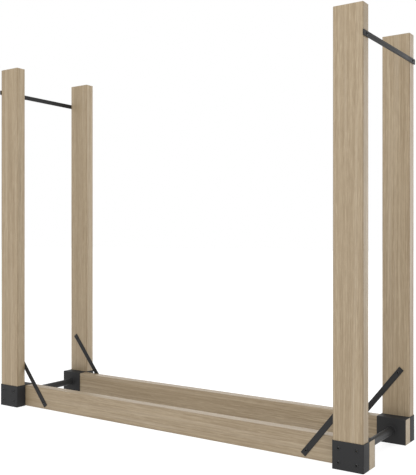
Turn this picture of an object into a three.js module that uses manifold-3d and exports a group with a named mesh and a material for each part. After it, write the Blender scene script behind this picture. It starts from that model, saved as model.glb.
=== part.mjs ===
// Firewood log rack: four lumber posts and two lumber rails held by four welded
// sheet-steel corner brackets, with a cross tube and a strap at each end and a
// flat brace in each corner. Every joint is screwed.
// Millimetres, +Z up. +X runs along the rails and +Y points to the rear.
// The origin is on the floor under the middle of the rack.
import * as THREE from "three";
import { mergeVertices } from "three/addons/utils/BufferGeometryUtils.js";
import Module from "manifold-3d";

const wasm = await Module();
wasm.setup();

// Driving dimensions: lumber.
const RACK_HEIGHT = 1270;
const POST_PITCH_X = 1368;
const POST_PITCH_Y = 370;
const POST_WIDTH = 88.9;
const POST_THICKNESS = 38.1;
const RAIL_HEIGHT = 77;
const RAIL_THICKNESS = 38.1;
const EASED_EDGE_RADIUS = 2.5;

// Driving dimensions: sheet steel. GAP is the clearance between touching pieces.
const SHEET = 1.5;
const GAP = 0.3;
const BEND_RADIUS = 3;
const STRAP_HEIGHT = 16;
const STRAP_THICKNESS = 3;
const STRAP_DROP = 84;
const STRAP_OVERHANG = 3.5;
const BRACE_WIDTH = 18;
const BRACE_THICKNESS = SHEET;
const BRACE_OVERHANG = 17;
const BRACE_FOOT_INSET = 100;
const BRACE_FOOT_HEIGHT = 24.5;
const BRACE_HEAD_OFFSET = 8;
const BRACE_HEAD_HEIGHT = 213;

// Driving dimensions: cross tubes and the bracket spigots that they slide over.
const TUBE_RADIUS = 12;
const TUBE_WALL = 1.8;
const TUBE_HEIGHT = 40;
const SPIGOT_WALL = 2.2;
const SPIGOT_LENGTH = 30;

// Driving dimensions: screws, and their pattern on a bracket.
const SCREW_HEAD_RADIUS = 5.2;
const SCREW_HEAD_HEIGHT = 2.8;
const SCREW_SHANK_RADIUS = 2.1;
const SCREW_SHANK_LENGTH = 32;
const SCREW_TIP_LENGTH = 4;
const SCREW_SPACING_X = 53;
const SCREW_SPACING_Z = 39;
const SCREW_PATTERN_HEIGHT = 40;

const CORNER_SEGMENTS = 3;
const ROUND_SEGMENTS = 24;
const SCREW_SEGMENTS = 12;

// Places worked out from the dimensions, in the rear right quarter of the rack.
const POST_X = POST_PITCH_X / 2;
const POST_Y = POST_PITCH_Y / 2;
const POST_OUTER_X = POST_X + POST_WIDTH / 2;
const POST_INNER_X = POST_X - POST_WIDTH / 2;
const POST_INNER_Y = POST_Y - POST_THICKNESS / 2;
const SOCKET_WIDTH = POST_WIDTH + 2 * (GAP + SHEET);
const SOCKET_DEPTH = POST_THICKNESS + 2 * (GAP + SHEET);
const SOCKET_INNER_Y = POST_Y - SOCKET_DEPTH / 2;
const RAIL_OUTER_Y = SOCKET_INNER_Y - GAP;
const RAIL_Y = RAIL_OUTER_Y - RAIL_THICKNESS / 2;
const CHANNEL_INSIDE_Y = RAIL_OUTER_Y - RAIL_THICKNESS - GAP;
const CHANNEL_FACE_Y = CHANNEL_INSIDE_Y - SHEET;
const BRACKET_HEIGHT = RAIL_HEIGHT + GAP + SHEET;
const RAIL_LENGTH = POST_PITCH_X + SOCKET_WIDTH;
const BRACE_Y = POST_INNER_Y - GAP - BRACE_THICKNESS / 2;
const STRAP_X = POST_OUTER_X + GAP + STRAP_THICKNESS / 2;
const STRAP_Z = RACK_HEIGHT - STRAP_DROP;

const LUMBER = new THREE.MeshStandardMaterial({ color: 0xb09e82, roughness: 0.75, metalness: 0 });
const BLACK_STEEL = new THREE.MeshStandardMaterial({ color: 0x3a3a3c, roughness: 0.55, metalness: 0.3 });
const SCREW_STEEL = new THREE.MeshStandardMaterial({ color: 0x2e2e30, roughness: 0.45, metalness: 0.5 });

// ---------------------------------------------------------------- solids

// A closed geometry as a solid that can be joined and cut.
function solidOf(geometry) {
  const bare = geometry.clone();
  bare.deleteAttribute("normal");
  bare.deleteAttribute("uv");
  const merged = mergeVertices(bare, 1e-4);
  return new wasm.Manifold(
    new wasm.Mesh({
      numProp: 3,
      vertProperties: new Float32Array(merged.attributes.position.array),
      triVerts: new Uint32Array(merged.index.array),
    }),
  );
}

// A solid as a geometry with flat-shaded faces.
function geometryOf(solid) {
  const { vertProperties, triVerts } = solid.getMesh();
  const indexed = new THREE.BufferGeometry();
  indexed.setAttribute("position", new THREE.BufferAttribute(vertProperties, 3));
  indexed.setIndex(new THREE.BufferAttribute(triVerts, 1));
  const flat = indexed.toNonIndexed();
  flat.computeVertexNormals();
  return flat;
}

function join(...geometries) {
  const solids = geometries.map(solidOf);
  return geometryOf(solids.reduce((whole, piece) => whole.add(piece)));
}

// ---------------------------------------------------------------- shapes

function roundedRectangle(width, height, radius) {
  const x = width / 2 - radius;
  const y = height / 2 - radius;
  const shape = new THREE.Shape();
  shape.absarc(x, y, radius, 0, Math.PI / 2);
  shape.absarc(-x, y, radius, Math.PI / 2, Math.PI);
  shape.absarc(-x, -y, radius, Math.PI, 1.5 * Math.PI);
  shape.absarc(x, -y, radius, 1.5 * Math.PI, 2 * Math.PI);
  return shape;
}

function extrude(shape, length) {
  return new THREE.ExtrudeGeometry(shape, {
    depth: length,
    bevelEnabled: false,
    curveSegments: CORNER_SEGMENTS,
  });
}

// A board or bar with eased long edges, centred on its own origin, long way up.
function bar(width, thickness, length, edgeRadius) {
  const section = roundedRectangle(width, thickness, edgeRadius);
  return extrude(section, length).translate(0, 0, -length / 2);
}

// A round pipe along Y, from y = 0 to y = length.
function pipe(outerRadius, wall, length) {
  const innerRadius = outerRadius - wall;
  const profile = [
    new THREE.Vector2(innerRadius, 0),
    new THREE.Vector2(outerRadius, 0),
    new THREE.Vector2(outerRadius, length),
    new THREE.Vector2(innerRadius, length),
    new THREE.Vector2(innerRadius, 0),
  ];
  return new THREE.LatheGeometry(profile, ROUND_SEGMENTS);
}

// ---------------------------------------------------------------- screws

// One dome-headed screw. Its origin is under the head, and its shank runs down -Y.
function screwGeometry() {
  const dome = [0.97, 0.8, 0.5].map(
    (share) =>
      new THREE.Vector2(
        SCREW_HEAD_RADIUS * share,
        SCREW_HEAD_HEIGHT * Math.sqrt(1 - share * share),
      ),
  );
  const profile = [
    new THREE.Vector2(0, -SCREW_SHANK_LENGTH),
    new THREE.Vector2(SCREW_SHANK_RADIUS, SCREW_TIP_LENGTH - SCREW_SHANK_LENGTH),
    new THREE.Vector2(SCREW_SHANK_RADIUS, GAP / 3),
    new THREE.Vector2(SCREW_HEAD_RADIUS, GAP / 3),
    ...dome,
    new THREE.Vector2(0, SCREW_HEAD_HEIGHT),
  ];
  return new THREE.LatheGeometry(profile, SCREW_SEGMENTS);
}

// The clearance hole that a screw's shank needs.
function screwHoleGeometry() {
  const depth = SCREW_SHANK_LENGTH + 2 * GAP;
  const radius = SCREW_SHANK_RADIUS + GAP;
  return new THREE.CylinderGeometry(radius, radius, depth, SCREW_SEGMENTS).translate(
    0,
    GAP - depth / 2,
    0,
  );
}

// A screw at a place, with its head facing a direction.
function screw(name, place, facing) {
  const mesh = new THREE.Mesh(screwGeometry(), SCREW_STEEL);
  mesh.name = name;
  mesh.position.copy(place);
  mesh.quaternion.setFromUnitVectors(new THREE.Vector3(0, 1, 0), facing);
  return mesh;
}

const OUTWARD_X = new THREE.Vector3(1, 0, 0);
const OUTWARD_Y = new THREE.Vector3(0, 1, 0);
const INWARD_Y = new THREE.Vector3(0, -1, 0);

function bracketScrews() {
  const y = POST_Y + SOCKET_DEPTH / 2;
  const screws = [];
  for (const [column, sideX] of [["inner", -1], ["outer", 1]]) {
    for (const [row, sideZ] of [["lower", -1], ["upper", 1]]) {
      const x = POST_X + (sideX * SCREW_SPACING_X) / 2;
      const z = SCREW_PATTERN_HEIGHT + (sideZ * SCREW_SPACING_Z) / 2;
      screws.push(screw(`bracket_screw_${row}_${column}`, new THREE.Vector3(x, y, z), OUTWARD_Y));
    }
  }
  return screws;
}

function strapScrew() {
  const place = new THREE.Vector3(STRAP_X + STRAP_THICKNESS / 2, POST_Y, STRAP_Z);
  return screw("strap_screw", place, OUTWARD_X);
}

// The brace's two screw places, on the brace's middle plane.
const BRACE_FOOT = new THREE.Vector3(POST_INNER_X - BRACE_FOOT_INSET, BRACE_Y, BRACE_FOOT_HEIGHT);
const BRACE_HEAD = new THREE.Vector3(POST_X + BRACE_HEAD_OFFSET, BRACE_Y, BRACE_HEAD_HEIGHT);

// The foot screw enters the rail from outside, and the head screw the post from inside.
function braceScrews() {
  const foot = BRACE_FOOT.clone().addScaledVector(OUTWARD_Y, BRACE_THICKNESS / 2);
  const head = BRACE_HEAD.clone().addScaledVector(INWARD_Y, BRACE_THICKNESS / 2);
  return [screw("brace_foot_screw", foot, OUTWARD_Y), screw("brace_head_screw", head, INWARD_Y)];
}

// Cuts the holes of the screws through a placed piece.
function drill(mesh, screws) {
  mesh.updateMatrix();
  const toPiece = mesh.matrix.clone().invert();
  let solid = solidOf(mesh.geometry);
  for (const fastener of screws) {
    fastener.updateMatrix();
    const hole = screwHoleGeometry().applyMatrix4(fastener.matrix).applyMatrix4(toPiece);
    solid = solid.subtract(solidOf(hole));
  }
  mesh.geometry = geometryOf(solid);
}

// The same screw on the other side of the rack's middle, across one axis.
function across(axis, fastener) {
  const copy = fastener.clone();
  copy.position[axis] *= -1;
  return copy;
}

// ---------------------------------------------------------------- corner pieces

function post() {
  const bottom = SHEET + GAP;
  const length = RACK_HEIGHT - bottom;
  const mesh = new THREE.Mesh(bar(POST_WIDTH, POST_THICKNESS, length, EASED_EDGE_RADIUS), LUMBER);
  mesh.name = "post";
  mesh.position.set(POST_X, POST_Y, bottom + length / 2);
  return mesh;
}

// The section of the rail channel in Y and Z: a top plate that bends down into
// the inner plate. It starts inside the socket's wall and is open at the floor.
function channelSection() {
  const innerBend = BEND_RADIUS - SHEET;
  const ceiling = BRACKET_HEIGHT - SHEET;
  const wall = SOCKET_INNER_Y + SHEET / 2;
  const shape = new THREE.Shape();
  shape.moveTo(wall, ceiling);
  shape.lineTo(wall, BRACKET_HEIGHT);
  shape.lineTo(CHANNEL_FACE_Y + BEND_RADIUS, BRACKET_HEIGHT);
  shape.absarc(
    CHANNEL_FACE_Y + BEND_RADIUS,
    BRACKET_HEIGHT - BEND_RADIUS,
    BEND_RADIUS,
    Math.PI / 2,
    Math.PI,
  );
  shape.lineTo(CHANNEL_FACE_Y, 0);
  shape.lineTo(CHANNEL_INSIDE_Y, 0);
  shape.lineTo(CHANNEL_INSIDE_Y, ceiling - innerBend);
  shape.absarc(
    CHANNEL_INSIDE_Y + innerBend,
    ceiling - innerBend,
    innerBend,
    Math.PI,
    Math.PI / 2,
    true,
  );
  shape.closePath();
  return shape;
}

// The post socket, its floor, the rail channel and the tube spigot, welded together.
function bracket() {
  const socket = roundedRectangle(SOCKET_WIDTH, SOCKET_DEPTH, BEND_RADIUS);
  const floor = extrude(roundedRectangle(SOCKET_WIDTH, SOCKET_DEPTH, BEND_RADIUS), SHEET);
  socket.holes.push(
    roundedRectangle(SOCKET_WIDTH - 2 * SHEET, SOCKET_DEPTH - 2 * SHEET, BEND_RADIUS - SHEET),
  );
  const channel = extrude(channelSection(), SOCKET_WIDTH)
    .rotateZ(Math.PI / 2)
    .rotateY(Math.PI / 2)
    .translate(-SOCKET_WIDTH / 2, -POST_Y, 0);
  const spigotRadius = TUBE_RADIUS - TUBE_WALL - GAP;
  const spigotRoot = CHANNEL_FACE_Y + SHEET / 2 - POST_Y;
  const spigot = pipe(spigotRadius, SPIGOT_WALL, SPIGOT_LENGTH)
    .translate(0, -SPIGOT_LENGTH + spigotRoot, TUBE_HEIGHT);
  const mesh = new THREE.Mesh(
    join(extrude(socket, BRACKET_HEIGHT), floor, channel, spigot),
    BLACK_STEEL,
  );
  mesh.name = "corner_bracket";
  mesh.position.set(POST_X, POST_Y, 0);
  return mesh;
}

function brace() {
  const along = BRACE_HEAD.clone().sub(BRACE_FOOT);
  const length = along.length() + 2 * BRACE_OVERHANG;
  const mesh = new THREE.Mesh(
    new THREE.BoxGeometry(BRACE_WIDTH, BRACE_THICKNESS, length),
    BLACK_STEEL,
  );
  mesh.name = "corner_brace";
  mesh.position.copy(BRACE_FOOT).lerp(BRACE_HEAD, 0.5);
  mesh.rotation.y = Math.atan2(along.x, along.z);
  return mesh;
}

// ---------------------------------------------------------------- long pieces

function rail() {
  const mesh = new THREE.Mesh(
    bar(RAIL_HEIGHT, RAIL_THICKNESS, RAIL_LENGTH, EASED_EDGE_RADIUS),
    LUMBER,
  );
  mesh.name = "rail";
  mesh.position.set(0, RAIL_Y, RAIL_HEIGHT / 2);
  mesh.rotation.y = Math.PI / 2;
  return mesh;
}

function endStrap() {
  const length = POST_PITCH_Y + POST_THICKNESS + 2 * STRAP_OVERHANG;
  const mesh = new THREE.Mesh(
    new THREE.BoxGeometry(STRAP_THICKNESS, length, STRAP_HEIGHT),
    BLACK_STEEL,
  );
  mesh.name = "end_strap";
  mesh.position.set(STRAP_X, 0, STRAP_Z);
  return mesh;
}

function crossTube() {
  const length = 2 * (CHANNEL_FACE_Y - GAP);
  const mesh = new THREE.Mesh(pipe(TUBE_RADIUS, TUBE_WALL, length), BLACK_STEEL);
  mesh.name = "cross_tube";
  mesh.position.set(POST_X, -length / 2, TUBE_HEIGHT);
  return mesh;
}

// ---------------------------------------------------------------- assembly

const ENDS = [["left", -1], ["right", 1]];
const SIDES = [["front", -1], ["rear", 1]];

const bracketFasteners = bracketScrews();
const strapFastener = strapScrew();
const [footFastener, headFastener] = braceScrews();
const braceFasteners = [footFastener, headFastener];
const cornerFasteners = [...bracketFasteners, strapFastener, ...braceFasteners];

const postPiece = post();
drill(postPiece, cornerFasteners);
const bracketPiece = bracket();
drill(bracketPiece, bracketFasteners);
const bracePiece = brace();
drill(bracePiece, braceFasteners);
const cornerPieces = [postPiece, bracketPiece, bracePiece, ...cornerFasteners];

const railPiece = rail();
drill(railPiece, [footFastener, across("x", footFastener)]);
const strapPiece = endStrap();
drill(strapPiece, [strapFastener, across("y", strapFastener)]);
const endPieces = [strapPiece, crossTube()];

// Copies of the rear right pieces, mirrored to another quarter, side or end.
function mirrored(pieces, place, mirrorX, mirrorY) {
  const group = new THREE.Group();
  group.scale.set(mirrorX, mirrorY, 1);
  for (const piece of pieces) {
    const copy = piece.clone();
    copy.name = `${place}_${piece.name}`;
    group.add(copy);
  }
  return group;
}

const group = new THREE.Group();
for (const [side, mirrorY] of SIDES) {
  group.add(mirrored([railPiece], side, 1, mirrorY));
  for (const [end, mirrorX] of ENDS) {
    group.add(mirrored(cornerPieces, `${side}_${end}`, mirrorX, mirrorY));
  }
}
for (const [end, mirrorX] of ENDS) {
  group.add(mirrored(endPieces, end, mirrorX, 1));
}

export default group;
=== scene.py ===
"""Looks of the firewood log rack: eased lumber, powder-coated sheet steel and screws.

Every length is in metres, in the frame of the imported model: +X along the rails,
+Y to the rear, +Z up, with the origin on the floor under the middle of the rack.
"""
import math
import random

import bmesh
import bpy
from mathutils import Euler, Matrix, Vector, noise


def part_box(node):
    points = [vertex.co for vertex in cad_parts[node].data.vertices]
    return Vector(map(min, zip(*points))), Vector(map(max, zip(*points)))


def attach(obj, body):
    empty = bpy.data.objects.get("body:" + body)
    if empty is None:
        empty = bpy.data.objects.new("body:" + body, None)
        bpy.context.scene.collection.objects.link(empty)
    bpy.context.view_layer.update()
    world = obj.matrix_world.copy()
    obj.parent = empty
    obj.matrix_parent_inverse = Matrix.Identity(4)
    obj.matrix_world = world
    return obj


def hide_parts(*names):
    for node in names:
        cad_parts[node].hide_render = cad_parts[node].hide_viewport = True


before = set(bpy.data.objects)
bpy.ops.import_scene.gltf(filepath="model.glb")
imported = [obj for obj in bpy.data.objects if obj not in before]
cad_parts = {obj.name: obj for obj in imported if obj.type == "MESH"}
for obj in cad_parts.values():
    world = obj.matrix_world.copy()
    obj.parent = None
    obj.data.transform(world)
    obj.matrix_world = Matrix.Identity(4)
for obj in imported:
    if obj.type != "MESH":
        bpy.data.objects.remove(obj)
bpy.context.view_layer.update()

MM = 0.001
BODY = "root"
SIDES = {"front": -1, "rear": 1}
ENDS = {"left": -1, "right": 1}
CORNERS = {f"{side}_{end}": (ENDS[end], SIDES[side]) for side in SIDES for end in ENDS}

# Sheet steel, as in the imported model.
SHEET = 1.5 * MM
GAP = 0.3 * MM
BEND_RADIUS = 3 * MM
TUBE_WALL = 1.8 * MM
TUBE_HEIGHT = 40 * MM
SPIGOT_WALL = 2.2 * MM
COLLAR_WIDTH = 4 * MM
CUT_EDGE_RADIUS = 0.3 * MM
BAR_CORNER_RADIUS = 1.2 * MM
BRACE_WIDTH = 18 * MM

# Lumber.
EASED_EDGE_RADIUS = 2.5 * MM
BOARD_STATION_SPACING = 12 * MM
BOARD_OUTLINE_SPACING = 8 * MM
END_CUT_CHAMFER = 0.35 * MM
BOARD_WOBBLE = 0.12 * MM
WOBBLE_SCALE = 18
EDGE_DENT_DEPTH = 0.5 * MM
DENT_SCALE = 55
DENT_THRESHOLD = 0.45
EDGE_ZONE = 0.85

# Where the tree's centre line lies beside the first post and the first rail, and the
# step from one board to the next. Only the third number is along the grain.
POST_PITH = (0.150, 0.060, 0.0)
POST_PITH_STEP = (-0.012, 0.010, 0.7)
RAIL_PITH = (0.095, 0.045, 2.0)
RAIL_PITH_STEP = (0.0, 0.01, 1.0)
# How far each board leans from the tree's centre line, in degrees.
POST_LEAN = (0.3, 0.2)
RAIL_LEAN = (0.5, 0.4)
POST_SEED_STEP = 11.0
RAIL_SEED = 50.0
RAIL_SEED_STEP = 9

# Screws.
HEAD_RADIUS = 5.2 * MM
HEAD_HEIGHT = 2.8 * MM
SHANK_RADIUS = 2.1 * MM
SHANK_LENGTH = 32 * MM
SHANK_TIP = 4 * MM
RECESS_LENGTH = 6.4 * MM
RECESS_WIDTH = 1.7 * MM
RECESS_DEPTH = 2.3 * MM
PIT_RADIUS = 2.6 * MM
PIT_TIP_RADIUS = 0.4 * MM
PIT_DEPTH = 4.2 * MM

# Where the crown of a screw head starts, in degrees from its rim, and the sine of that.
CROWN_START = 20
CROWN_START_SINE = 0.342

# Camera. The lens and the sensor are in millimetres.
LENS = 55.49
SENSOR_WIDTH = 36.0
CLIP_END = 100.0
CAMERA_PLACE = (1.4932, -2.0595, 0.6351)
CAMERA_TURN = 34.366

# Light and floor.
WHITE = (1.0, 1.0, 1.0)
WORLD_STRENGTH = 1.0
FLOOR_HALF_SIZE = 30.0
FLOOR_GREY = 0.4
FLOOR_GLOW = 0.72

# Each light's name, place, target, size, watts and colour.
LIGHTS = (
    ("front_light", (-0.4, -4.4, 1.1), (0, 0, 0.6), (5.0, 2.4), 48, WHITE),
    ("back_light", (2.0, 3.0, 0.9), (0.6, 0, 0.6), (2.2, 2.2), 24, (0.98, 0.99, 1.0)),
    ("sheen_light", (-2.6, 4.6, 1.9), (0, 0, 0.1), (4.5, 2.0), 34, (1.0, 0.98, 0.97)),
    ("top_light", (0.6, -1.2, 3.2), (0.2, 0, 0), (1.2, 1.2), 26, WHITE),
)

# Wood colours.
OAK_LIGHT = (0.392, 0.316, 0.213, 1.0)
OAK_MID = (0.296, 0.227, 0.141, 1.0)
OAK_DARK = (0.190, 0.134, 0.073, 1.0)
OAK_BLOOM = (0.385, 0.318, 0.232, 1.0)
# The rails' colours are scaled by this, so the rails are drawn darker than the posts.
RAIL_DARKENING = 0.91
RING_WIDTH = 6.5 * MM

# Noise frequencies of the wood's markings, in cycles per metre: twice across the
# grain, then along it.
WANDER = (5.0, 5.0, 1.6)
RIPPLE = (60.0, 60.0, 6.0)
VEIN = (70.0, 70.0, 2.0)
BAND = (75.0, 75.0, 0.9)
STREAK = (210.0, 210.0, 2.4)
MOTTLE = (360.0, 360.0, 26.0)
FIBRE = (1500.0, 1500.0, 40.0)
PORE = (1000.0, 1000.0, 50.0)
DRIFT = (16.0, 16.0, 2.4)
ARRIS_JITTER = (120.0, 120.0, 14.0)

# The wood is drawn darker from an arris out to this distance.
DARKEN_START = 0.5 * MM
DARKEN_END = 4.0 * MM

# Depth of the fine relief in wood and in powder coat.
BUMP_DISTANCE = 0.12 * MM

# Noise frequencies of the powder coat, in cycles per metre.
PEEL_SCALE = (900.0,) * 3
SPECK_SCALE = (2600.0,) * 3
CLOUD_SCALE = (14.0,) * 3

# Colour, roughness and specular level of each black coat.
PLATE_COAT = ((0.0125, 0.0125, 0.0130), 0.66, 0.30)
# The tube coat's colour is a touch lighter than the plates': painted light that brightens the
# tubes. Its gloss differs too.
TUBE_COAT_PAINTED_LIGHT = ((0.0150, 0.0150, 0.0150), 0.52, 0.34)
# The screw coat's colour is darker than the plates': painted shade on the screw heads. Its gloss
# is its own.
SCREW_COAT_PAINTED_SHADE = ((0.0040, 0.0040, 0.0045), 0.30, 0.44)

# ---------------------------------------------------------------- camera


def make_camera():
    """A level camera at the height of the rack's middle, off its front right corner."""
    lens_data = bpy.data.cameras.new("camera")
    lens_data.lens = LENS
    lens_data.sensor_width = SENSOR_WIDTH
    lens_data.clip_end = CLIP_END
    camera = bpy.data.objects.new("camera", lens_data)
    camera.location = CAMERA_PLACE
    camera.rotation_euler = (math.radians(90), 0, math.radians(CAMERA_TURN))
    bpy.context.scene.collection.objects.link(camera)
    bpy.context.scene.camera = camera


# ---------------------------------------------------------------- light and floor


def area_light(name, place, target, size, power, colour):
    lamp = bpy.data.lights.new(name, "AREA")
    lamp.shape = "RECTANGLE"
    lamp.size, lamp.size_y = size
    lamp.energy = power
    lamp.color = colour
    light = bpy.data.objects.new(name, lamp)
    light.location = place
    toward = Vector(target) - Vector(place)
    light.rotation_euler = toward.to_track_quat("-Z", "Y").to_euler()
    bpy.context.scene.collection.objects.link(light)


def make_world():
    """Even white surroundings."""
    world = bpy.data.worlds.new("studio")
    world.use_nodes = True
    background = world.node_tree.nodes["Background"]
    background.inputs["Color"].default_value = WHITE + (1.0,)
    background.inputs["Strength"].default_value = WORLD_STRENGTH
    bpy.context.scene.world = world


def make_floor():
    """A flat white floor that glows a little, so it stays white out to the horizon."""
    mesh = bpy.data.meshes.new("floor")
    half = FLOOR_HALF_SIZE
    corners = [(-half, -half, 0), (half, -half, 0), (half, half, 0), (-half, half, 0)]
    mesh.from_pydata(corners, [], [(0, 1, 2, 3)])
    floor = bpy.data.objects.new("floor", mesh)
    bpy.context.scene.collection.objects.link(floor)
    material = bpy.data.materials.new("floor_white")
    material.use_nodes = True
    shader = material.node_tree.nodes["Principled BSDF"]
    shader.inputs["Base Color"].default_value = (FLOOR_GREY, FLOOR_GREY, FLOOR_GREY, 1.0)
    shader.inputs["Roughness"].default_value = 1.0
    shader.inputs["Specular IOR Level"].default_value = 0.0
    shader.inputs["Emission Color"].default_value = WHITE + (1.0,)
    shader.inputs["Emission Strength"].default_value = FLOOR_GLOW
    mesh.materials.append(material)


def make_studio():
    bpy.context.scene.view_settings.view_transform = "Standard"
    make_world()
    make_floor()
    for light in LIGHTS:
        area_light(*light)


# ---------------------------------------------------------------- material graphs


class Graph:
    """A material's node tree. Each method adds a node and returns its output socket."""

    def __init__(self, name):
        self.material = bpy.data.materials.new(name)
        self.material.use_nodes = True
        self.nodes = self.material.node_tree.nodes
        self.links = self.material.node_tree.links
        self.shader = self.nodes["Principled BSDF"]

    def feed(self, socket, value):
        if isinstance(value, bpy.types.NodeSocket):
            self.links.new(value, socket)
        else:
            socket.default_value = value

    def coordinates(self, kind="Object"):
        return self.nodes.new("ShaderNodeTexCoord").outputs[kind]

    def mapping(self, vector, location, rotation):
        node = self.nodes.new("ShaderNodeMapping")
        self.feed(node.inputs["Vector"], vector)
        node.inputs["Location"].default_value = location
        node.inputs["Rotation"].default_value = rotation
        return node.outputs["Vector"]

    def vector(self, operation, a, b):
        node = self.nodes.new("ShaderNodeVectorMath")
        node.operation = operation
        self.feed(node.inputs[0], a)
        self.feed(node.inputs[1], b)
        return node.outputs["Value" if operation == "LENGTH" else "Vector"]

    def math(self, operation, a, b=0.0):
        node = self.nodes.new("ShaderNodeMath")
        node.operation = operation
        self.feed(node.inputs[0], a)
        self.feed(node.inputs[1], b)
        return node.outputs["Value"]

    def axis(self, vector, name):
        node = self.nodes.new("ShaderNodeSeparateXYZ")
        self.feed(node.inputs["Vector"], vector)
        return node.outputs[name]

    def noise(self, vector, scale, detail=2.0, roughness=0.5, seed=0.0):
        node = self.nodes.new("ShaderNodeTexNoise")
        node.noise_dimensions = "4D"
        self.feed(node.inputs["Vector"], self.vector("MULTIPLY", vector, scale))
        node.inputs["W"].default_value = seed
        node.inputs["Scale"].default_value = 1.0
        node.inputs["Detail"].default_value = detail
        node.inputs["Roughness"].default_value = roughness
        return node.outputs["Fac"]

    def remap(self, value, low, high, to_low=0.0, to_high=1.0, smooth=False):
        node = self.nodes.new("ShaderNodeMapRange")
        node.interpolation_type = "SMOOTHSTEP" if smooth else "LINEAR"
        self.feed(node.inputs["Value"], value)
        node.inputs["From Min"].default_value = low
        node.inputs["From Max"].default_value = high
        node.inputs["To Min"].default_value = to_low
        node.inputs["To Max"].default_value = to_high
        return node.outputs["Result"]

    def mix(self, share, a, b):
        node = self.nodes.new("ShaderNodeMix")
        node.data_type = "RGBA"
        self.feed(node.inputs["Factor"], share)
        self.feed(node.inputs["A"], a)
        self.feed(node.inputs["B"], b)
        return node.outputs["Result"]

    def bump(self, height, strength, distance):
        node = self.nodes.new("ShaderNodeBump")
        node.inputs["Strength"].default_value = strength
        node.inputs["Distance"].default_value = distance
        self.feed(node.inputs["Height"], height)
        return node.outputs["Normal"]


# ---------------------------------------------------------------- materials


def toned(colour, tone):
    return tuple(tone * c for c in colour[:3]) + (1.0,)


def late_wood(g, place, seed):
    """The share of dark late wood: rings round the pith that wander and fade."""
    wander = g.noise(place, WANDER, detail=2.0, seed=seed)
    ripple = g.noise(place, RIPPLE, detail=2.0, seed=seed + 3.1)
    flat = g.vector("MULTIPLY", place, (1.0, 1.0, 0.0))
    radius = g.vector("LENGTH", flat, (0.0, 0.0, 0.0))
    radius = g.math("ADD", radius, g.remap(wander, 0.2, 0.8, -14 * MM, 14 * MM))
    radius = g.math("ADD", radius, g.remap(ripple, 0.2, 0.8, -2.4 * MM, 2.4 * MM))
    phase = g.math("FRACT", g.math("DIVIDE", radius, RING_WIDTH))
    late = g.math("POWER", phase, 3.0)
    late = g.math("MULTIPLY", late, g.remap(phase, 0.9, 1.0, 1.0, 0.0, smooth=True))
    vein = g.noise(place, VEIN, detail=2.0, seed=seed + 12.6)
    return g.math("MULTIPLY", late, g.remap(vein, 0.35, 0.7, 0.25, 1.0))


def arris_darkening(g, place, section, seed):
    """How much darker the wood is drawn: 1 at an arris, and 0 a few millimetres away from it."""
    across = g.vector("ABSOLUTE", g.coordinates(), (0.0, 0.0, 0.0))
    clear_x = g.math("SUBTRACT", section[0] / 2, g.axis(across, "X"))
    clear_y = g.math("SUBTRACT", section[1] / 2, g.axis(across, "Y"))
    to_arris = g.math("MAXIMUM", clear_x, clear_y)
    arris_jitter = g.noise(place, ARRIS_JITTER, detail=2.0, seed=seed + 17.5)
    to_arris = g.math("ADD", to_arris, g.remap(arris_jitter, 0.3, 0.7, -1 * MM, 1 * MM))
    return g.remap(to_arris, DARKEN_START, DARKEN_END, 1.0, 0.0)


def lumber_material(name, section, pith, lean, seed, tone=1.0):
    """Solid oak-coloured wood. section is the board's width and thickness. pith is
    where the tree's centre line lies beside the board, and lean how it is tilted, so
    the faces cut through the rings as sawn faces do. A board's own Z runs along its
    grain."""
    light, middle, dark = (toned(c, tone) for c in (OAK_LIGHT, OAK_MID, OAK_DARK))
    g = Graph(name)
    place = g.mapping(g.coordinates(), pith, lean)
    late = late_wood(g, place, seed)
    near_arris = arris_darkening(g, place, section, seed)
    band = g.noise(place, BAND, detail=2.0, seed=seed + 14.3)
    streak = g.noise(place, STREAK, detail=4.0, roughness=0.62, seed=seed + 1.7)
    mottle = g.noise(place, MOTTLE, detail=3.0, roughness=0.6, seed=seed + 6.4)
    fibre = g.noise(place, FIBRE, detail=3.0, roughness=0.6, seed=seed + 5.3)
    pores = g.noise(place, PORE, detail=1.0, seed=seed + 7.9)
    pores = g.remap(pores, 0.60, 0.72, smooth=True)
    drift = g.noise(place, DRIFT, detail=2.0, seed=seed + 9.2)

    colour = g.mix(g.remap(streak, 0.44, 0.34), middle, light)
    colour = g.mix(g.remap(streak, 0.48, 0.68, 0.0, 0.8), colour, dark)
    colour = g.mix(g.remap(mottle, 0.50, 0.70, 0.0, 0.6), colour, dark)
    colour = g.mix(g.remap(mottle, 0.48, 0.32, 0.0, 0.7), colour, light)
    colour = g.mix(g.remap(band, 0.52, 0.66, 0.0, 0.35), colour, dark)
    colour = g.mix(g.remap(band, 0.48, 0.34, 0.0, 0.45), colour, toned(OAK_BLOOM, tone))
    colour = g.mix(g.math("MULTIPLY", late, 0.8), colour, dark)
    colour = g.mix(g.remap(fibre, 0.35, 0.75, 0.0, 0.22), colour, dark)
    colour = g.mix(g.math("MULTIPLY", pores, 0.4), colour, dark)
    colour = g.mix(g.remap(drift, 0.3, 0.7, 0.0, 0.35), colour, middle)

    # The wood is drawn darker towards each arris.
    colour = g.mix(g.math("MULTIPLY", near_arris, 0.38), colour, dark)

    end_grain = g.math("ABSOLUTE", g.axis(g.coordinates("Normal"), "Z"))
    end_grain = g.remap(end_grain, 0.8, 0.95)
    colour = g.mix(g.math("MULTIPLY", end_grain, 0.45), colour, light)
    g.feed(g.shader.inputs["Base Color"], colour)

    height = g.math("SUBTRACT", g.remap(fibre, 0.3, 0.7), g.math("MULTIPLY", pores, 1.4))
    height = g.math("SUBTRACT", height, g.math("MULTIPLY", late, 0.5))
    g.feed(g.shader.inputs["Normal"], g.bump(height, 0.35, BUMP_DISTANCE))
    g.feed(g.shader.inputs["Roughness"], g.remap(streak, 0.3, 0.7, 0.42, 0.54))
    return g.material


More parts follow.
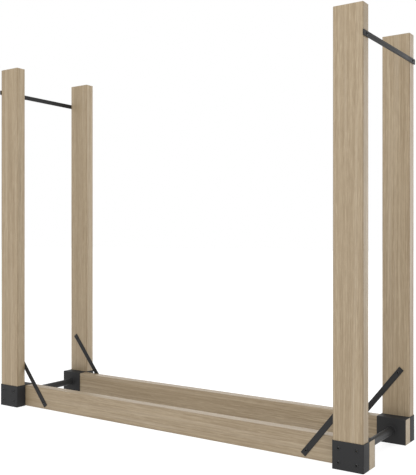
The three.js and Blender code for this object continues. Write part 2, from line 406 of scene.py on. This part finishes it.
def powder_coat_material(name, colour, roughness, specular):
    """Satin powder coat: fine orange peel, with a little unevenness in its gloss."""
    g = Graph(name)
    place = g.coordinates()
    peel = g.noise(place, PEEL_SCALE, detail=2.0, roughness=0.55)
    speck = g.noise(place, SPECK_SCALE, detail=1.0)
    cloud = g.noise(place, CLOUD_SCALE, detail=3.0, roughness=0.6)
    dusty = tuple(1.35 * c + 0.002 for c in colour) + (1.0,)
    g.feed(
        g.shader.inputs["Base Color"],
        g.mix(g.remap(cloud, 0.35, 0.75, 0.0, 0.5), colour + (1.0,), dusty),
    )
    g.feed(
        g.shader.inputs["Roughness"],
        g.remap(cloud, 0.3, 0.7, roughness - 0.05, roughness + 0.06),
    )
    height = g.math("ADD", peel, g.math("MULTIPLY", speck, 0.35))
    g.feed(g.shader.inputs["Normal"], g.bump(height, 0.25, BUMP_DISTANCE))
    g.shader.inputs["Specular IOR Level"].default_value = specular
    return g.material


# ---------------------------------------------------------------- mesh helpers


def linked(name, mesh):
    obj = bpy.data.objects.new(name, mesh)
    bpy.context.scene.collection.objects.link(obj)
    return obj


def object_from(bm, name):
    bmesh.ops.recalc_face_normals(bm, faces=bm.faces)
    mesh = bpy.data.meshes.new(name)
    bm.to_mesh(mesh)
    bm.free()
    return linked(name, mesh)


def applied(obj):
    """The object with its modifiers turned into mesh."""
    graph = bpy.context.evaluated_depsgraph_get()
    mesh = bpy.data.meshes.new_from_object(obj.evaluated_get(graph))
    old = obj.data
    obj.modifiers.clear()
    obj.data = mesh
    bpy.data.meshes.remove(old)
    return obj


def soften(obj, radius, segments=2):
    """Rounds the sharp edges, and leaves the fine steps of a bend as they are."""
    bevel = obj.modifiers.new("soften", "BEVEL")
    bevel.width = radius
    bevel.segments = segments
    bevel.limit_method = "ANGLE"
    bevel.angle_limit = math.radians(50)
    return applied(obj)


def combine(obj, other, operation):
    """Joins another solid to obj or cuts it away, and removes the other."""
    boolean = obj.modifiers.new("combine", "BOOLEAN")
    boolean.operation = operation
    boolean.solver = "EXACT"
    boolean.object = other
    applied(obj)
    mesh = other.data
    bpy.data.objects.remove(other)
    bpy.data.meshes.remove(mesh)
    return obj


def shade(mesh, angle=35):
    """Smooth shading across soft bends, with the sharp edges kept."""
    mesh.shade_smooth()
    mesh.set_sharp_from_angle(angle=math.radians(angle))


def prism(name, outline, low, high, axes="xyz"):
    """A solid of one outline. The outline's two coordinates and the height go to
    the named axes in turn."""
    bm = bmesh.new()
    order = ["xyz".index(a) for a in axes]

    def vertex(point, level):
        place = [0.0, 0.0, 0.0]
        for axis, value in zip(order, (point[0], point[1], level)):
            place[axis] = value
        return bm.verts.new(place)

    bottom = [vertex(p, low) for p in outline]
    top = [vertex(p, high) for p in outline]
    bm.faces.new(bottom)
    bm.faces.new(top)
    count = len(outline)
    for i in range(count):
        j = (i + 1) % count
        bm.faces.new((bottom[i], bottom[j], top[j], top[i]))
    return object_from(bm, name)


def arc(centre, radius, start, stop, segments):
    """Points on an arc. The angles are in degrees."""
    points = []
    for i in range(segments + 1):
        angle = math.radians(start + (stop - start) * i / segments)
        points.append(
            (centre[0] + radius * math.cos(angle), centre[1] + radius * math.sin(angle))
        )
    return points


def rounded_rectangle(low, high, radius, segments=8):
    """The outline of a rectangle with round corners, anticlockwise."""
    points = []
    for i, (x, y) in enumerate(
        [
            (high[0] - radius, high[1] - radius),
            (low[0] + radius, high[1] - radius),
            (low[0] + radius, low[1] + radius),
            (high[0] - radius, low[1] + radius),
        ]
    ):
        points += arc((x, y), radius, 90 * i, 90 * i + 90, segments)
    return points


def lathe(name, profile, segments=48, closed=False):
    """A solid turned about Z. The profile is (radius, height) points."""
    bm = bmesh.new()
    rings = []
    for radius, height in profile:
        if radius < 1e-7:
            rings.append([bm.verts.new((0, 0, height))])
            continue
        ring = []
        for i in range(segments):
            angle = 2 * math.pi * i / segments
            ring.append(
                bm.verts.new((radius * math.cos(angle), radius * math.sin(angle), height))
            )
        rings.append(ring)
    pairs = list(zip(rings, rings[1:]))
    if closed:
        pairs.append((rings[-1], rings[0]))
    for low, high in pairs:
        for i in range(segments):
            j = (i + 1) % segments
            below = [low[i % len(low)], low[j % len(low)]]
            above = [high[j % len(high)], high[i % len(high)]]
            bm.faces.new(list(dict.fromkeys(below + above)))
    return object_from(bm, name)


def pipe(name, outer, wall, length, chamfer):
    """A round pipe along Z from the origin, with its cut ends eased."""
    inner = outer - wall
    profile = [
        (outer - chamfer, 0),
        (outer, chamfer),
        (outer, length - chamfer),
        (outer - chamfer, length),
        (inner + chamfer, length),
        (inner, length - chamfer),
        (inner, chamfer),
        (inner + chamfer, 0),
    ]
    return lathe(name, profile, closed=True)


def settle(obj, node, material):
    """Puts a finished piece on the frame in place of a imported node."""
    obj.name = f"fine_{node}"
    obj.data.name = obj.name
    obj.data.materials.clear()
    obj.data.materials.append(material)
    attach(obj, BODY)
    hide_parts(node)


# ---------------------------------------------------------------- lumber


def board_outline(width, thickness):
    """The section of a board with eased edges, with points along its flat sides."""
    corners = rounded_rectangle(
        (-width / 2, -thickness / 2), (width / 2, thickness / 2), EASED_EDGE_RADIUS, 5
    )
    points = []
    for start, stop in zip(corners, corners[1:] + corners[:1]):
        start, stop = Vector(start), Vector(stop)
        steps = max(1, round((stop - start).length / BOARD_OUTLINE_SPACING))
        points += [start.lerp(stop, k / steps) for k in range(steps)]
    return points


def board(name, width, thickness, length, seed):
    """A board along its own Z, with faint planer wobble and small dents in its edges."""
    outline = board_outline(width, thickness)
    count = max(2, round(length / BOARD_STATION_SPACING))
    heights = [-length / 2, -length / 2 + END_CUT_CHAMFER]
    heights += [-length / 2 + length * k / count for k in range(1, count)]
    heights += [length / 2 - END_CUT_CHAMFER, length / 2]
    offset = Vector((seed * 7.3, seed * 3.7, seed * 5.1))
    bm = bmesh.new()
    rings = []
    for height in heights:
        at_end = abs(abs(height) - length / 2) < 1e-9
        ring = []
        for point in outline:
            place = Vector((point.x, point.y, height))
            inward = -Vector((point.x / width, point.y / thickness, 0)).normalized()
            edge = min(abs(point.x) / (width / 2), abs(point.y) / (thickness / 2))
            wobble = noise.noise(place * WOBBLE_SCALE + offset) * BOARD_WOBBLE
            dent = max(0.0, noise.noise(place * DENT_SCALE + offset) - DENT_THRESHOLD)
            sink = max(0.0, wobble)
            if edge > EDGE_ZONE:
                sink += dent * EDGE_DENT_DEPTH
            if at_end:
                sink += END_CUT_CHAMFER
            ring.append(bm.verts.new(place + inward * sink))
        rings.append(ring)
    for low, high in zip(rings, rings[1:]):
        for i in range(len(outline)):
            j = (i + 1) % len(outline)
            bm.faces.new((low[i], low[j], high[j], high[i]))
    bm.faces.new(rings[0])
    bm.faces.new(rings[-1])
    obj = object_from(bm, name)
    shade(obj.data, 30)
    return obj


def stepped(start, step, index):
    """start moved on by index steps."""
    return tuple(a + index * b for a, b in zip(start, step))


def make_posts():
    for index, corner in enumerate(CORNERS):
        node = f"{corner}_post"
        low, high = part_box(node)
        size = high - low
        obj = board(node, size.x, size.y, size.z, seed=index + 1)
        obj.matrix_world = Matrix.Translation((low + high) / 2)
        pith = stepped(POST_PITH, POST_PITH_STEP, index)
        lean = Euler((math.radians(POST_LEAN[0]), math.radians(POST_LEAN[1] * (-1) ** index), 0))
        seed = POST_SEED_STEP * index
        material = lumber_material(f"lumber_{corner}", size.xy, pith, lean, seed)
        settle(obj, node, material)


def make_rails():
    turned = Matrix(((0, 0, 1, 0), (0, -1, 0, 0), (1, 0, 0, 0), (0, 0, 0, 1)))
    for index, side in enumerate(SIDES):
        node = f"{side}_rail"
        low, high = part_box(node)
        size = high - low
        obj = board(node, size.z, size.y, size.x, seed=index + 6)
        obj.matrix_world = Matrix.Translation((low + high) / 2) @ turned
        pith = stepped(RAIL_PITH, RAIL_PITH_STEP, index)
        lean = Euler((math.radians(RAIL_LEAN[0]), math.radians(RAIL_LEAN[1]), 0))
        seed = RAIL_SEED + RAIL_SEED_STEP * index
        section = (size.z, size.y)
        material = lumber_material(f"lumber_{side}_rail", section, pith, lean, seed, RAIL_DARKENING)
        settle(obj, node, material)


# ---------------------------------------------------------------- sheet steel


def channel_outline(wall, low_y, height):
    """The rail channel's section in Y and Z: a top plate bent down into a plate
    that reaches the floor."""
    inner_bend = BEND_RADIUS - SHEET
    ceiling = height - SHEET
    face = low_y + SHEET
    outline = [(wall, ceiling), (wall, height)]
    outline += arc((low_y + BEND_RADIUS, height - BEND_RADIUS), BEND_RADIUS, 90, 180, 8)
    outline += [(low_y, 0), (face, 0)]
    outline += arc((face + inner_bend, ceiling - inner_bend), inner_bend, 180, 90, 8)
    return outline


def collar_profile(inner):
    """The section of the weld collar round the tube's end: a fillet that swells at
    the plate and thins towards the tube."""
    outer = inner + COLLAR_WIDTH
    fillet = arc((outer, COLLAR_WIDTH + SHEET / 2), COLLAR_WIDTH - 0.8 * MM, 270, 180, 6)
    return [(inner, 0), (outer, 0)] + fillet + [(inner, COLLAR_WIDTH + SHEET / 2)]


def bracket_template():
    """The rear right bracket, in place: post socket, socket floor, rail channel and
    spigot, with clearance holes for its screws."""
    low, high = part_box("rear_right_corner_bracket")
    post_low, post_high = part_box("rear_right_post")
    rail_low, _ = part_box("rear_rail")
    tube_low, tube_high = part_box("right_cross_tube")
    margin = Vector((SHEET + GAP,) * 2)
    outer_low, outer_high = post_low.xy - margin, post_high.xy + margin
    inside = Vector((SHEET,) * 2)
    inner_low, inner_high = outer_low + inside, outer_high - inside

    body = prism("socket", rounded_rectangle(outer_low, outer_high, BEND_RADIUS), 0, high.z)
    hollow = prism(
        "hollow", rounded_rectangle(inner_low, inner_high, BEND_RADIUS - SHEET), -SHEET, 2 * high.z
    )
    soften(combine(body, hollow, "DIFFERENCE"), CUT_EDGE_RADIUS)

    lap = Vector((SHEET / 2,) * 2)
    floor = prism(
        "socket_floor",
        rounded_rectangle(inner_low - lap, inner_high + lap, BEND_RADIUS - SHEET),
        0.1 * MM,
        SHEET,
    )
    combine(body, floor, "UNION")

    face_y = rail_low.y - GAP - SHEET
    trim = 0.15 * MM
    channel = prism(
        "channel",
        channel_outline(outer_low.y + SHEET / 2, face_y, high.z - trim),
        outer_low.x + trim,
        outer_high.x - trim,
        axes="yzx",
    )
    combine(body, soften(channel, CUT_EDGE_RADIUS), "UNION")

    tube_radius = (tube_high.z - tube_low.z) / 2
    centre_x = (tube_low.x + tube_high.x) / 2
    reach = face_y - low.y + SHEET / 2
    spigot = pipe("spigot", tube_radius - TUBE_WALL - GAP, SPIGOT_WALL, reach, 0.5 * MM)
    spigot.data.transform(Matrix.Rotation(math.radians(90), 4, "X"))
    spigot.data.transform(Matrix.Translation((centre_x, face_y + SHEET / 2, TUBE_HEIGHT)))
    combine(body, spigot, "UNION")

    collar = lathe("collar", collar_profile(tube_radius + GAP), closed=True)
    collar.data.transform(Matrix.Rotation(math.radians(90), 4, "X"))
    collar.data.transform(Matrix.Translation((centre_x, face_y + SHEET / 2, TUBE_HEIGHT)))
    combine(body, collar, "UNION")

    for row in ("lower", "upper"):
        for column in ("inner", "outer"):
            screw_low, screw_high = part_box(f"rear_right_bracket_screw_{row}_{column}")
            centre = (screw_low + screw_high) / 2
            radius = SHANK_RADIUS + GAP
            hole = lathe("hole", [(0, 0), (radius, 0), (radius, 6 * SHEET), (0, 6 * SHEET)], 24)
            hole.data.transform(Matrix.Rotation(math.radians(-90), 4, "X"))
            hole.data.transform(Matrix.Translation((centre.x, high.y - 5 * SHEET, centre.z)))
            combine(body, hole, "DIFFERENCE")
    return body


def mirrored_copy(mesh, scale_x, scale_y):
    copy = mesh.copy()
    copy.transform(Matrix.Diagonal((scale_x, scale_y, 1, 1)))
    if scale_x * scale_y < 0:
        copy.flip_normals()
    return copy


def make_brackets(material):
    template = bracket_template()
    for corner, (scale_x, scale_y) in CORNERS.items():
        node = f"{corner}_corner_bracket"
        mesh = mirrored_copy(template.data, scale_x, scale_y)
        shade(mesh)
        settle(linked(node, mesh), node, material)
    bpy.data.objects.remove(template)


def flat_bar(name, width, thickness, length, hole_offset):
    """A flat bar along its own Z, faces to its own Y, with a hole near each end."""
    outline = rounded_rectangle(
        (-width / 2, -length / 2), (width / 2, length / 2), BAR_CORNER_RADIUS, 4
    )
    obj = prism(name, outline, -thickness / 2, thickness / 2, axes="xzy")
    for side in (-1, 1):
        radius = SHANK_RADIUS + GAP
        hole = lathe("hole", [(0, -1), (radius, -1), (radius, 1), (0, 1)], 24)
        hole.data.transform(Matrix.Diagonal((1, 1, thickness, 1)))
        hole.data.transform(Matrix.Rotation(math.radians(90), 4, "X"))
        hole.data.transform(Matrix.Translation((0, 0, side * hole_offset)))
        combine(obj, hole, "DIFFERENCE")
    soften(obj, CUT_EDGE_RADIUS)
    shade(obj.data)
    return obj


def screw_centre(node):
    low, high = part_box(node)
    return (low + high) / 2


def make_straps(material):
    for end, scale_x in ENDS.items():
        node = f"{end}_end_strap"
        low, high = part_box(node)
        size = high - low
        hole_offset = abs(screw_centre(f"rear_{end}_strap_screw").y)
        obj = flat_bar(node, size.z, size.x, size.y, hole_offset)
        turned = Matrix(((0, 1, 0, 0), (0, 0, 1, 0), (1, 0, 0, 0), (0, 0, 0, 1)))
        obj.matrix_world = Matrix.Translation((low + high) / 2) @ turned
        settle(obj, node, material)


def make_braces(material):
    for corner in CORNERS:
        node = f"{corner}_corner_brace"
        low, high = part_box(node)
        middle = (low + high) / 2
        foot = screw_centre(f"{corner}_brace_foot_screw")
        head = screw_centre(f"{corner}_brace_head_screw")
        along = Vector((head.x - foot.x, 0, head.z - foot.z))
        direction = along.normalized()
        length = ((high.z - low.z) - BRACE_WIDTH * abs(direction.x)) / direction.z
        obj = flat_bar(node, BRACE_WIDTH, high.y - low.y, length, along.length / 2)
        tilt = Vector((0, 0, 1)).rotation_difference(direction).to_matrix().to_4x4()
        obj.matrix_world = Matrix.Translation(middle) @ tilt
        settle(obj, node, material)


def make_tubes(material):
    for end in ENDS:
        node = f"{end}_cross_tube"
        low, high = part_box(node)
        radius = (high.z - low.z) / 2
        obj = pipe(node, radius, TUBE_WALL, high.y - low.y, 0.4 * MM)
        turned = Matrix.Rotation(math.radians(-90), 4, "X")
        centre = (low + high) / 2
        obj.matrix_world = Matrix.Translation((centre.x, low.y, centre.z)) @ turned
        shade(obj.data)
        settle(obj, node, material)


# ---------------------------------------------------------------- screws


def screw_template():
    """A pan-head screw with a cross recess, head up, with its origin under the head."""
    crown = arc((0, 0), 1.0, CROWN_START, 90, 8)
    head = []
    for x, y in crown:
        rise = (y - CROWN_START_SINE) / (1 - CROWN_START_SINE)
        head.append((HEAD_RADIUS * x, HEAD_HEIGHT * (0.25 + 0.75 * rise)))
    profile = [
        (0, -SHANK_LENGTH),
        (SHANK_RADIUS, SHANK_TIP - SHANK_LENGTH),
        (SHANK_RADIUS, 0.1 * MM),
        (HEAD_RADIUS - 0.25 * MM, 0.1 * MM),
        (HEAD_RADIUS, 0.35 * MM),
    ] + head[:-1] + [(0, HEAD_HEIGHT)]
    screw = lathe("screw", profile, 32)
    for angle in (0, 90):
        half, width = RECESS_LENGTH / 2, RECESS_WIDTH / 2
        slot = prism(
            "slot",
            [(-half, -width), (half, -width), (half, width), (-half, width)],
            HEAD_HEIGHT - RECESS_DEPTH,
            HEAD_HEIGHT + RECESS_DEPTH,
        )
        for vertex in slot.data.vertices:
            if vertex.co.z < HEAD_HEIGHT:
                vertex.co.x *= 0.35
                vertex.co.y *= 0.6
        slot.data.transform(Matrix.Rotation(math.radians(angle), 4, "Z"))
        combine(screw, slot, "DIFFERENCE")
    taper = [(0, -PIT_DEPTH), (PIT_TIP_RADIUS, -PIT_DEPTH), (PIT_RADIUS, 0)]
    pit = lathe("pit", taper + [(PIT_RADIUS, 1 * MM), (0, 1 * MM)], 24)
    pit.data.transform(Matrix.Translation((0, 0, HEAD_HEIGHT - 0.6 * MM)))
    combine(screw, pit, "DIFFERENCE")
    shade(screw.data, 40)
    return screw


def screw_facing(node, scale_x, scale_y):
    """The way that a screw's head faces."""
    if node.endswith("strap_screw"):
        return Vector((scale_x, 0, 0))
    if node.endswith("brace_head_screw"):
        return Vector((0, -scale_y, 0))
    return Vector((0, scale_y, 0))


def make_screws(material):
    chance = random.Random(4)
    template = screw_template()
    for corner, (scale_x, scale_y) in CORNERS.items():
        nodes = sorted(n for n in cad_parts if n.startswith(corner) and "screw" in n)
        for node in nodes:
            low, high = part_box(node)
            facing = screw_facing(node, scale_x, scale_y)
            centre = (low + high) / 2
            reach = (high - low).dot(Vector(map(abs, facing))) / 2
            origin = centre + facing * (reach - HEAD_HEIGHT)
            aim = Vector((0, 0, 1)).rotation_difference(facing).to_matrix().to_4x4()
            roll = Matrix.Rotation(chance.uniform(0, math.pi / 2), 4, "Z")
            obj = linked(node, template.data.copy())
            obj.matrix_world = Matrix.Translation(origin) @ aim @ roll
            settle(obj, node, material)
    bpy.data.objects.remove(template)


# ---------------------------------------------------------------- scene

make_camera()
make_studio()
coat = powder_coat_material("black_powder_coat", *PLATE_COAT)
lit_tube_coat = powder_coat_material("black_tube_coat_painted_light", *TUBE_COAT_PAINTED_LIGHT)
shaded_screw_coat = powder_coat_material("black_screw_coat_painted_shade", *SCREW_COAT_PAINTED_SHADE)
make_posts()
make_rails()
make_brackets(coat)
make_straps(coat)
make_braces(coat)
make_tubes(lit_tube_coat)
make_screws(shaded_screw_coat)
